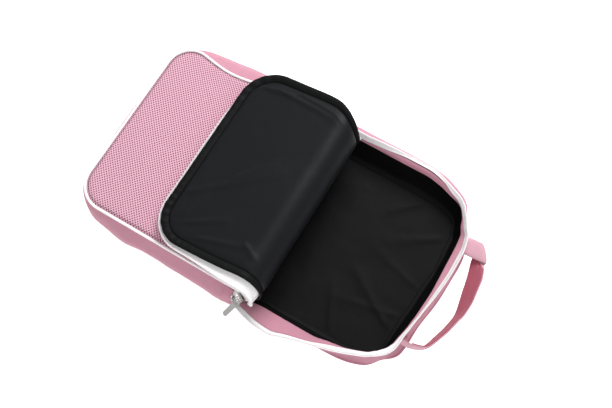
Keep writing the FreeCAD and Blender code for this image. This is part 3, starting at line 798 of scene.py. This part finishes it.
def up_to_edge(l, at_start, at_cut):
    return at_start + (at_cut - at_start) * ease((l - 12) / (CUT - 12))


fold_border = fold_side_band(
    "fold_border_band",
    lambda l, s: up_to_edge(l, 0.2, -0.4), lambda l, s: up_to_edge(l, 5.0, 9.2),
    lambda l, s: up_to_edge(l, 1.5, 1.9), lambda l, s: up_to_edge(l, 4.0, 3.9), 1.4, black_border, 24, 1.2)
belongs(fold_border, ("fold_border",), None)
bends_low(fold_border)

fold_tape = fold_side_band(
    "fold_zip_tape_band",
    lambda l, s: up_to_edge(l, 1.5, 3.0), lambda l, s: up_to_edge(l, 8.5, 22.2 if s > 0 else 14.2),
    lambda l, s: up_to_edge(l, 3.0, 1.6),
    lambda l, s: up_to_edge(l, 6.5, -1.9 if s > 0 else 1.8), TAPE_CLOTH, zip_tape, 29, 0.0)
belongs(fold_tape, ("fold_zip_tape",), None)
bends_low(fold_tape)

strands = []
for side, reach in ((1, 21.0), (-1, 13.0)):
    l = np.linspace(30, CUT, 40)
    x = side * (half_width_low(l) + up_to_edge(l, 7.6, reach))
    depth = up_to_edge(l, 6.6, -1.6 if side > 0 else 2.2)
    line = on_fold(x, l, depth + 0.9)
    a = np.interp(l, _line, _turn)
    lift = np.stack([0 * a, np.sin(a), -np.cos(a)], -1)
    strands.append(coil(f"strand_{side}", line, np.broadcast_to((1.0, 0, 0), line.shape), lift, zip_coil))
fold_coil = join(strands, "fold_zip_coil_wound")
belongs(fold_coil, ("fold_zip_coil",), None)
bends_low(fold_coil)

# White piping round the front's edge, and its line of stitches.
def front_edge(count, inset_by, depth):
    """The front's edge from the near side's cut, round the closed end, to the far side's cut."""
    half, radius, end = HALF_WIDTH - inset_by, CORNER_BOTTOM - inset_by, -HALF_LENGTH + inset_by
    near_l = np.linspace(CUT, -LOW_SIDE, count)
    t = np.linspace(0, math.pi / 2, 24)[1:-1]
    x = np.concatenate([half + 0 * near_l, half - radius + radius * np.cos(t), np.linspace(half - radius, radius - half, count),
                        radius - half - radius * np.sin(t), -half + 0 * near_l])
    l = np.concatenate([near_l, -LOW_SIDE - radius * np.sin(t), np.full(count, end),
                        -LOW_SIDE - radius * np.cos(t), near_l[::-1]])
    scale = np.where(l > 6, (half_width_low(l) + 1.8) / HALF_WIDTH, 1)
    return on_fold(x * scale, l, depth + 0 * l)


front_piping = tube("front_piping_cord", front_edge(110, 0.2, -0.7), 1.7, piping_cloth)
belongs(front_piping, ("front_piping", "fold_piping"), None)
bends_low(front_piping)

path = front_edge(110, 4.2, -2.55)
path = path[(path[:, 2] < 56)]
front_stitch = stitches("front_stitch_row", path, np.broadcast_to((0, 0, 1.0), path.shape),
                        3.0, 2.0, 0.42, dark_thread)
belongs(front_stitch, ("front_topstitch",), "case")


# ---- The body: back, walls, linings and zip ----------------------------------------------------

# The open half's wall, round the case from the slider to the far end of the zip:
# outer wall at 12 and 24 high, sewn line, tape's free edge, where facing meets lining, and floor crease.
OPEN_WALL = [
    (near(8), 12, 13, 9.0, 34.5, 11.5, 41.5, 4, 28, -13),
    (near(18), 12, 14, 12.0, 33.2, 16.5, 36.6, 1, 24, -13),
    (near(30), 12, 15, 14.5, 32.0, 20.5, 35, -2, 21, -13),
    (near(45), 11.5, 16, 17.5, 30.0, 23.0, 33, -3.5, 20, -14),
    (near(63), 11, 16, 18.5, 28.5, 23.5, 31.5, -3.5, 20, -14),
    (near(85), 10, 13.5, 13.0, 28.5, 17.5, 32.5, -3.5, 20, -15),
    (near(109), 7, 8.5, 7.0, 29.0, 11.5, 34, -3.5, 21, -15),
    (near(128), 1, 1, 0.0, 29.5, 6.0, 34.5, -6, 26, -15),
    (near(146), -5, -6, -6, 30.0, 1.0, 35, -8, 29, -16),
    (near(163), -10, -12, -12, 30.5, -5.5, 36, -13, 30, -20),
    (185, -15, -18, -20, 31.0, -14, 36, -21, 30.4, -26),
    (206, -20, -22, -22.5, 31.0, -16, 36.5, -23.5, 30.4, -30),
    (225, -22, -23, -22, 31.5, -16, 37, -23, 31, -31),
    (239, -20, -22, -20, 32.0, -15.5, 38, -21.5, 31, -31),
    (top_end(61), -15, -18, -17, 32.0, -14, 38, -19, 31, -30),
    (top_end(45), -12, -15, -14, 31.5, -12, 38, -16.5, 30.5, -30),
    (top_end(28), -9, -13, -11.5, 31.0, -9.5, 37.5, -15, 30, -28),
    (top_end(0), -6, -10, -9, 31.0, -5.5, 37, -13.5, 29, -27),
    (top_end(-30), -4, -7.5, -7, 31.0, -3.5, 37, -14.5, 28, -24),
    (top_end(-60), -5, -8, -7.5, 31.0, -4.5, 37, -15.5, 27, -26),
    (391, -5, -9, -11, 32.0, -8, 37, -17, 27.5, -27),
    (410, -10, -14, -15.5, 32.0, -13, 36.8, -19.5, 29, -28),
    (430, -7, -10, -14, 32.5, -11, 37, -15.5, 30.5, -24),
    (445, 1, 1, -9, 33.5, -5, 37.5, -10, 31.5, -20),
    (far(165), 9, 11, -1.5, 35.0, 2.5, 37.5, -5, 32, -16),
    (far(148), 13, 17, 6.0, 36.5, 9.5, 36.5, 0, 32.5, -14),
    (far(126), 14, 20, 9.5, 37.5, 13.5, 35.5, 3.0, 33, -13),
    (far(100), 14, 20.5, 9.5, 37.5, 13.5, 36.8, 2.5, 33, -13),
    (far(65), 14, 20.5, 6.5, 36.5, 11.5, 40.5, 2.5, 33, -13),
    (far(39), 14, 20.5, 5.5, 35.0, 9.5, 41, 2.5, 32.5, -13),
    (far(8), 13, 20, 8.5, 35.0, 10.5, 41.5, 4, 30, -13),
]
# The closed half's wall: outer wall at 12, 24 and 38 high, and its top under the piping.
SHUT_WALL = [
    (far(8), 13, 20, 14, 0.8), (far(-30), 13, 19.5, 13, 0.8), (far(-90), 13, 20, 13, -1.5),
    (far(-120), 14, 21, 12, -5.2), (far(-145), 13, 18.5, 9, -7.0), (far(-178), 10, 15, 8, -2.6),
    (far(-181) + 27, 4, 5.5, 4, 0.6), (bottom_end(-84), 5, 6.5, 4.5, 0.8), (bottom_end(0), 8, 10, 6.5, 0.8),
    (bottom_end(84), 5, 7, 5, 0.8), (bottom_end(84) + 27, 3, 4.5, 4, 0.8), (near(-178), 8, 9.5, 6.5, 0.8),
    (near(-140), 12.5, 12.5, 6.5, 0.8), (near(-116), 10, 11, 5.5, 0.8), (near(-70), 11.5, 12, 6, 0.8),
    (near(-35), 12, 12.5, 6.5, 0.8), (near(-13), 13, 13.5, 7.5, 0.8), (near(8), 12, 13, 8.5, 0.8),
]
# The wall under the open zip is slack: it folds a little where it leans over the corner.
OPEN_TABLE = np.array([list(row) for row in OPEN_WALL], float)
SHUT_TABLE = np.array([[row[0] if row[0] >= far(8) - 1e-6 else row[0] + ROUND] + list(row[1:])
                       for row in SHUT_WALL], float)
ZIP_FROM, ZIP_TO = near(ZIP_START), far(ZIP_START)


def of_open(column, s):
    return through(OPEN_TABLE[:, 0], OPEN_TABLE[:, column], s)


def of_shut(column, s):
    return through(SHUT_TABLE[:, 0], SHUT_TABLE[:, column], s)


def wall_rumple(s, z):
    """Soft upright folds in the side cloth."""
    h = 1.1 * rumple(s / 1.0, z * 1.6, 46, 41) + 0.5 * rumple(s, z * 0.6, 17, 47)
    return h * np.sin(math.pi * np.clip(z / 40, 0, 1))


def section_grid(s, knots, count):
    """Smooth wall sections through these (u, z) knots, each an array along s."""
    curves = np.stack([np.stack([np.broadcast_to(k, s.shape) for k in knot], -1) for knot in knots], axis=1)
    made = resample(curves, count)
    return made[..., 0], made[..., 1]


# Closed half: one deep wall from the back seam to the front's piping.
s = np.linspace(ZIP_TO, ROUND + ZIP_FROM, 300)
u, z = section_grid(s, [
    (0.6, 0.9), (of_shut(1, s) * 0.62, 5.5), (of_shut(1, s), 12),
    (of_shut(2, s), 24), (of_shut(3, s), 38), (of_shut(4, s), 46.6),
], 30)
u = u + wall_rumple(s[:, None], z) * 0.8
grid = round_case(s, u, z)
side_shut = cloth_piece("side_cloth_closed_half", grid, SHELL_CLOTH, rose_cloth)
belongs(side_shut, ("gusset_closed",), "case")

u, z = section_grid(s, [
    (-9, 6.3), (of_shut(1, s) - 7, 12), (of_shut(2, s) - 4, 24),
    (of_shut(3, s) - 4, 37), (of_shut(4, s) - 3.5, 43.6),
], 24)
grid = round_case(s, u + 0.5 * wall_rumple(s[:, None], z), z)
shut_lining = cloth_piece("side_lining_closed_half", grid, LINING_CLOTH, black_lining)
belongs(shut_lining, ("gusset_lining_closed",), "case")

# Open half: the outer cloth up to the sewn line.
s = np.linspace(ZIP_FROM, ZIP_TO, 330)
sew_u, sew_z, tip_u, tip_z = of_open(3, s), of_open(4, s), of_open(5, s), of_open(6, s)
u24 = of_open(2, s)
shoulder_u = sew_u + 0.52 * (u24 - sew_u)
shoulder_z = sew_z - 1.2 - 0.12 * np.abs(u24 - sew_u)
u, z = section_grid(s, [
    (0.6 - drawn_in(s), 0.9), (of_open(1, s) * 0.62 - 0.3 * drawn_in(s), 5.5), (of_open(1, s), 12),
    (u24, 23.5), (shoulder_u, shoulder_z), (sew_u, sew_z),
], 28)
u = u + wall_rumple(s[:, None] + 900, z * 1.2) * np.sin(math.pi * np.clip(z / 34, 0, 1)) * 1.1
grid = round_case(s, u, z)
side_open = cloth_piece("side_cloth_open_half", grid, SHELL_CLOTH, rose_cloth)
belongs(side_open, ("gusset_open",), "case")

# White zip tape, standing up from the sewn line, and its coil along the free edge.
v = np.linspace(0, 1, 8)[None, :]
rise_u, rise_z = tip_u - sew_u, tip_z - sew_z
long = np.hypot(rise_u, rise_z)
start_u, start_z = sew_u - 0.6 * rise_u / long - 1.3 * rise_z / long * 0.6, sew_z - 0.4 * rise_z / long - 0.2
wave = 0.5 * rumple(s, s * 0, 26, 61)[:, None] * v
u = start_u[:, None] + (tip_u - start_u)[:, None] * v + wave + 0.8 * np.sin(math.pi * v)
z = start_z[:, None] + (tip_z - start_z)[:, None] * v
grid = round_case(s, u, z)
body_tape = cloth_piece("body_zip_tape_band", grid, TAPE_CLOTH, zip_tape)
belongs(body_tape, ("body_zip_tape",), "case")
# The tape shows 6.6 mm, under the least width that a sheet can state, so its own area is given.
inward = -normals(grid)[:, -1]
up_tape = unit(grid[:, -1] - grid[:, -3])
body_coil = coil("body_zip_coil_wound", grid[:, -1] + inward * 1.5 - up_tape * 1.1, up_tape, inward, zip_coil)
belongs(body_coil, ("body_zip_coil",), "case")

# The facing: a strip of the outer cloth inside the rim.
face_u, face_z = of_open(7, s), of_open(8, s)
end_u, end_z = sew_u - 1.3, sew_z - 0.3
u, z = section_grid(s, [
    (face_u, face_z), (face_u + 0.5 * (end_u - face_u), face_z + 0.62 * (end_z - face_z)), (end_u, end_z),
], 14)
z = z + 0.45 * rumple(s[:, None], u, 15, 71) * np.sin(math.pi * np.linspace(0, 1, 14))[None, :]
grid = round_case(s, u, z)
facing = cloth_piece("zip_facing_strip", grid, 0.6, rose_cloth)
belongs(facing, ("zip_facing",), "case")

# The wall's lining, from the facing down to the floor's crease.
crease = of_open(9, s)
u, z = section_grid(s, [
    (crease - 1.5, 6.2), (crease + 0.22 * (face_u - crease), 6.9),
    (crease + 0.62 * (face_u - crease), 6.9 + 0.42 * (face_z - 6.9)), (face_u + 0.6, face_z + 0.1),
], 26)
sway = np.sin(math.pi * np.linspace(0, 1, 26))[None, :]
u = u + (1.3 * rumple(s[:, None], z * 1.5, 38, 81) + 0.7 * rumple(s[:, None], z, 14, 87)) * sway
grid = round_case(s, u, z)
# Its darker black is painted shade of the compartment.
open_lining = cloth_piece("side_lining_open_half", grid, LINING_CLOTH, black_lining_painted_shade)
belongs(open_lining, ("gusset_lining_open",), "case")

# Back: outer cloth, pad, and the floor lining inside.
x, y = rows_of(-HALF_LENGTH, HALF_LENGTH, HALF_WIDTH, CORNER_BOTTOM, CORNER_TOP, 60, 41)
x, y = draw_in(x, y)
flat = np.stack([x, y, 0.9 + 0 * x], -1)
back_cloth = slab("back_cloth_panel", flat, flat * (1, 1, 0), rose_cloth)
belongs(back_cloth, ("back_panel",), "case")

half, low, high = HALF_WIDTH - 3, -HALF_LENGTH + 3, HALF_LENGTH - 3
x, y = rows_of(low, high, half, CORNER_BOTTOM - 3, CORNER_TOP - 3, 110, 71)
inset = edge_inset(x, y, half, low, high, CORNER_BOTTOM - 3, CORNER_TOP - 3)
x, y = draw_in(x, y)
top = np.stack([x, y, 1.0 + rounded(inset, 7, 3.9)], -1)
base = np.stack([x, y, 0.95 + 0 * x], -1)
back_pad = slab("back_pad_foam", top, base, foam)
belongs(back_pad, ("back_foam",), "case")


def floor_creases(x, y):
    """Slack in the floor lining: broad swells, and lines pulled from its corners."""
    h = 1.0 * rumple(x + 500, y + 500, 70, 91) + 0.45 * rumple(x, y, 24, 95)
    h = h + pull_line(x, y, (60, 178), (10, 100), 7, 2.0) + pull_line(x, y, (-70, 180), (-30, 120), 8, 1.8)
    h = h + pull_line(x, y, (96, 120), (30, 90), 6, 1.4) + pull_line(x, y, (0, 186), (-20, 110), 7, 1.2)
    h = h + pull_line(x, y, (-100, 140), (-50, 90), 7, 1.6) + pull_line(x, y, (40, 184), (60, 90), 6, 1.2)
    return np.maximum(h + 0.5, 0)


half, low, high = HALF_WIDTH - 7, -HALF_LENGTH + 7, HALF_LENGTH - 7
x, y = rows_of(low, high, half, CORNER_BOTTOM - 7, CORNER_TOP - 7, 130, 91)
inset = edge_inset(x, y, half, low, high, CORNER_BOTTOM - 7, CORNER_TOP - 7)
z = 5.3 + floor_creases(x, y) * ease(inset / 10)
x, y = draw_in(x, y)
# Its darker black is painted shade of the compartment.
floor_lining = slab("floor_lining_sheet", np.stack([x, y, z + LINING_CLOTH], -1), np.stack([x, y, z], -1),
                    black_lining_painted_shade)
belongs(floor_lining, ("back_lining",), "case")

s_all = np.linspace(0, ROUND, 500, endpoint=False)
path = round_case(s_all, 0.4 - drawn_in(s_all)[:, None], np.full((500, 1), 1.2))[:, 0]
binding = tube("back_seam_binding_cord", path, 1.2, rose_cloth, closed=True)
belongs(binding, ("back_seam_binding",), "case")

# Short closed lengths of zip beside the slider and at the zip's far end.
def pair_of(name, make, material_nodes):
    made = join([make(1), make(-1)], name)
    return belongs(made, material_nodes, "case")


def lead_tape(side):
    l = np.linspace(ZIP_START, 31, 24)
    t = np.linspace(0, 1, 8)
    x = side * (half_width_low(l)[:, None] + 1.0 + (7.2 + 1.5 * ease((l - 20) / 12))[:, None] * t)
    depth = 1.9 + 4.2 * t**1.5
    return slab(f"lead_{side}", on_fold(x, l[:, None], depth), on_fold(x, l[:, None], depth + TAPE_CLOTH),
                zip_tape)


lead_tapes = pair_of("zip_lead_tape_bands", lead_tape, ("zip_lead_tapes",))


def lead_coil(side):
    l = np.linspace(9.5, 31, 24)
    x = side * (half_width_low(l) + 8.0)
    line = on_fold(x, l, 7.0)
    return coil(f"lead_coil_{side}", line, np.broadcast_to((1.0, 0, 0), line.shape),
                np.broadcast_to((0, 0, 1.0), line.shape), zip_coil)


pair_of("zip_lead_coils_wound", lead_coil, ("zip_lead_coils",))


def stop(side):
    y = np.linspace(ZIP_START, ZIP_START + 1.6, 4)
    line = np.stack([np.full(4, side * 126.2), y, np.full(4, 42.0)], -1)
    return tube(f"stop_{side}", line, 1.5, zip_coil)


pair_of("zip_stop_pair", stop, ("zip_stops",))


def end_tab(side):
    s = np.linspace(ZIP_FROM + ROUND - 12, ZIP_FROM + ROUND, 12) if side > 0 else np.linspace(ZIP_TO, ZIP_TO + 12, 12)
    u, z = section_grid(s, [(of_shut(2, s) - 2.5, 32.0), (of_shut(3, s), 38), (of_shut(4, s) + 0.3, 46.4)], 14)
    grid = round_case(s, u + 1.1, z + 0.3)
    return cloth_piece(f"end_tab_{side}", grid, 0.7, rose_cloth)


end_tabs = pair_of("zip_end_tab_pair", end_tab, ("zip_end_tabs",))

# ---- The carry handle ----------------------------------------------------------------------------

# The strap's two edges, lower then upper, from the far wall to the slider's side. Beside the far wall
# it lies flat and is folded over on itself, so that the bar beyond shows its inner face.
HANDLE_EDGES = np.array([
    (-82, 204, 23, -60, 205, 24), (-82, 211, 24, -60, 214, 25), (-82, 217, 25.5, -60, 225, 26.5),
    (-82, 221.5, 26, -60.5, 235.5, 28.5), (-83.2, 223.5, 23.8, -62, 239, 26.8), (-81, 222.4, 20.4, -60, 238.5, 24.6),
    (-73, 221.5, 17.5, -54, 241, 28), (-62, 222.5, 15, -48, 243, 31), (-44, 227, 14, -40, 245, 33), (-27, 230.5, 14, -27, 246.5, 34),
    (-10, 234, 14, -11, 248, 34.5), (8, 237, 14, 4, 247, 35), (26, 234.5, 13.5, 20, 243, 35.5), (41, 230, 12.5, 37, 239, 35.5),
    (53, 226.5, 12, 51, 234, 35.5), (62, 221.5, 11.5, 61, 229, 35.5), (66, 214, 11, 66, 219, 35), (67.5, 207, 11, 68, 209, 34),
    (68, 199, 11, 68.5, 198, 33),
], float)


def strap_sheet(columns, count=230):
    """Points of the strap's middle sheet, its inner face's directions, and the distance along it."""
    edges = resample(HANDLE_EDGES, count)
    lower, upper = edges[:, :3], edges[:, 3:]
    share = (columns + 0.5)[None, :, None]
    grid = lower[:, None] * (1 - share) + upper[:, None] * share
    run = np.r_[0, np.cumsum(np.linalg.norm(np.diff((lower + upper) / 2, axis=0), axis=1))]
    inner = unit(np.cross(np.gradient(grid, axis=0), np.gradient(grid, axis=1)))
    return grid, inner, run


def on_strap(t):
    """The strap's slack: a shallow hollow and small rumples."""
    return lambda run: 0.5 * rumple(run[:, None], t[None, :] * 25, 22, 51) - 1.0 * np.cos(math.pi * t)[None, :]


t = np.linspace(-0.5, 0.5, 21)
middle, inner, at = strap_sheet(t)
middle = middle + inner * on_strap(t)(at)[..., None]
thin = (1.0 * (1 - (2 * np.abs(t)) ** 6) + 0.3)[None, :, None]
# The strap's lighter rose is painted light.
handle_strap = slab("handle_strap_folded", middle + inner * thin, middle - inner * thin, rose_cloth_painted_light)
belongs(handle_strap, ("handle_strap",), None)
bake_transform(handle_strap)

t = np.linspace(-0.45, 0.45, 37)
middle, inner, at = strap_sheet(t)
keep = (at > 41) & (at < at[-1] - 12)
groove = (-0.85 * np.exp(-(((t - 0.12) / 0.03) ** 2)) + 0.35 * (t > 0.14))[None, :]
thin = (1.0 * (1 - (2 * np.abs(t)) ** 6) + 0.3)[None, :]
lift = on_strap(t)(at) + thin
top = (middle + inner * (lift + 0.9 + groove)[..., None])[keep]
low = (middle + inner * (lift + 0.02)[..., None])[keep]
# Its deep rose is painted shade on the strap's inner face.
handle_webbing = slab("handle_inner_webbing_painted_shade", top, low, rose_cloth_painted_shade)
belongs(handle_webbing, ("handle_webbing",), None)
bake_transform(handle_webbing)


def anchor(side):
    """A square of cloth sewn to the wall over the strap's end."""
    middle = top_end(side * 70)
    s = np.linspace(middle - 15, middle + 15, 16)
    u24 = of_open(2, s)
    u, z = section_grid(s, [
        (of_open(1, s) * 0.9 + 1.2, 9.5), (of_open(1, s) + 1.2, 12), (u24 + 1.2, 23.5),
        (sew_at(s) + 0.5 * (u24 - sew_at(s)) + 1.0, 29.5),
    ], 14)
    return cloth_piece(f"anchor_{side}", round_case(s, u, z), 1.0, rose_cloth)


def sew_at(s):
    return of_open(3, s)


pair_of("handle_anchor_pair", anchor, ("handle_anchors",))


def bartack(side):
    rows = []
    for k, offset in enumerate((-11.0, 11.0)):
        s = np.linspace(top_end(side * 70) + offset - 0.6, top_end(side * 70) + offset + 0.6, 3)
        u, z = section_grid(s, [(of_open(1, s) + 1.6, 11), (of_open(1, s) + 1.7, 13), (of_open(2, s) + 1.6, 23)], 14)
        rows.append(cloth_piece(f"tack_{side}_{k}", round_case(s, u + 0.5, z), 0.8, rose_thread))
    return join(rows, f"tacks_{side}")


pair_of("handle_bartack_rows", bartack, ("handle_bartacks",))

# ---- Slider, bridge and tab: the CAD pieces, with their edges rounded and plated -------------------

# The zip turns outward where it parts, and the slider and its tab turn with it.
SLIDER_AT = Vector((0.12906, 0.0154, 0))
SLIDER_TURN = (Matrix.Translation(SLIDER_AT) @ Matrix.Rotation(math.radians(-24), 4, "Z")
               @ Matrix.Translation(-SLIDER_AT))
for name, made_name, body, width in (("zip_slider", "zip_slider_cast", "slider", 0.45),
                                     ("slider_bridge", "slider_bridge_cast", "slider", 0.15),
                                     ("pull_tab", "pull_tab_stamped", "pull", 0.25)):
    metal = bpy.data.objects.new(made_name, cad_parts[name].data.copy())
    bpy.context.scene.collection.objects.link(metal)
    metal.data.transform(SLIDER_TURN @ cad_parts[name].matrix_world)
    metal.data.materials.clear()
    metal.data.materials.append(plated)
    edge = metal.modifiers.new("rounded_edges", "BEVEL")
    edge.width = width * MM
    edge.segments = 3
    edge.limit_method = "ANGLE"
    belongs(metal, (name,), body)

# ---- Floor, light and camera -----------------------------------------------------------------------

bpy.ops.mesh.primitive_plane_add(size=8, location=(0, 0, -0.0006))
ground = bpy.context.object
ground.name = "studio_floor"
paper, tree, shader = finish("white_paper_floor", "#ffffff", 0.9)
shader.inputs["Specular IOR Level"].default_value = 0.0
shader.inputs["Emission Color"].default_value = (1, 1, 1, 1)
shader.inputs["Emission Strength"].default_value = 0.62
ground.data.materials.append(paper)
ground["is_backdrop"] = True

world = bpy.data.worlds.new("studio")
bpy.context.scene.world = world
world.use_nodes = True
world.node_tree.nodes["Background"].inputs[0].default_value = (1, 1, 1, 1)
world.node_tree.nodes["Background"].inputs[1].default_value = 0.57


def softbox(name, place, size, power):
    lamp = bpy.data.lights.new(name, "AREA")
    lamp.shape = "RECTANGLE"
    lamp.size, lamp.size_y = size
    lamp.energy = power
    piece = bpy.data.objects.new(name, lamp)
    bpy.context.scene.collection.objects.link(piece)
    piece.location = place
    piece.rotation_euler = (Vector((0, 0, 0.03)) - Vector(place)).to_track_quat("-Z", "Y").to_euler()
    return piece


softbox("key_light", (-1.40, -0.15, 1.6), (1.0, 1.0), 40)
softbox("fill_light", (0.9, 0.9, 1.8), (1.6, 1.6), 8)

azimuth, elevation, distance = math.radians(120.85), math.radians(70.0), 1.27
aim = np.array([-0.0098, 0.026, 0.053])
eye = aim + distance * np.array([
    math.sin(azimuth) * math.cos(elevation), -math.cos(azimuth) * math.cos(elevation), math.sin(elevation),
])
lens = bpy.data.cameras.new("camera")
lens.lens, lens.sensor_width = 64.2, 36.0
lens.clip_start = 0.05
camera = bpy.data.objects.new("camera", lens)
bpy.context.scene.collection.objects.link(camera)
camera.location = eye.tolist()
camera.rotation_euler = (Vector(aim) - Vector(eye)).to_track_quat("-Z", "Y").to_euler()
bpy.context.scene.camera = camera
bpy.context.scene.view_settings.view_transform = "Standard"

low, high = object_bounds()
